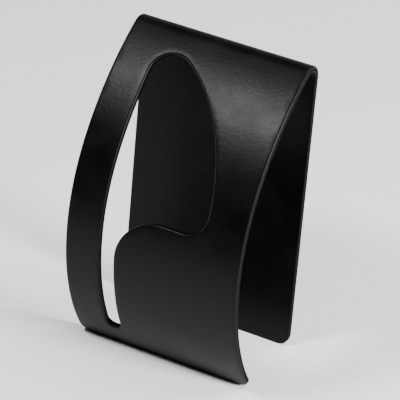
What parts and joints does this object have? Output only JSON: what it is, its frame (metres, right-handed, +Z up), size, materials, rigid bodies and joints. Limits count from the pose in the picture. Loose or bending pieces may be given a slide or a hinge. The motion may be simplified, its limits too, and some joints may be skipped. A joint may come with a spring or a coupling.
{
  "type": "eyeglasses display stand",
  "caption": "Tabletop stand for a pair of eyeglasses: a strip of black sheet metal folded over at the top, with a bowed front leg cut out to leave a rounded tab beside a slot.",
  "frame": {"origin": "on the table, under the middle of the stand's box", "axes": "+X across the strip to the right, -Y to the bowed front leg, +Z up to the fold"},
  "size_m": [0.065, 0.0528, 0.1035],
  "materials": {
    "black_coat": "satin"
  },
  "bodies": {
    "root": {"bent_sheet": "black_coat"}
  },
  "joints": []
}
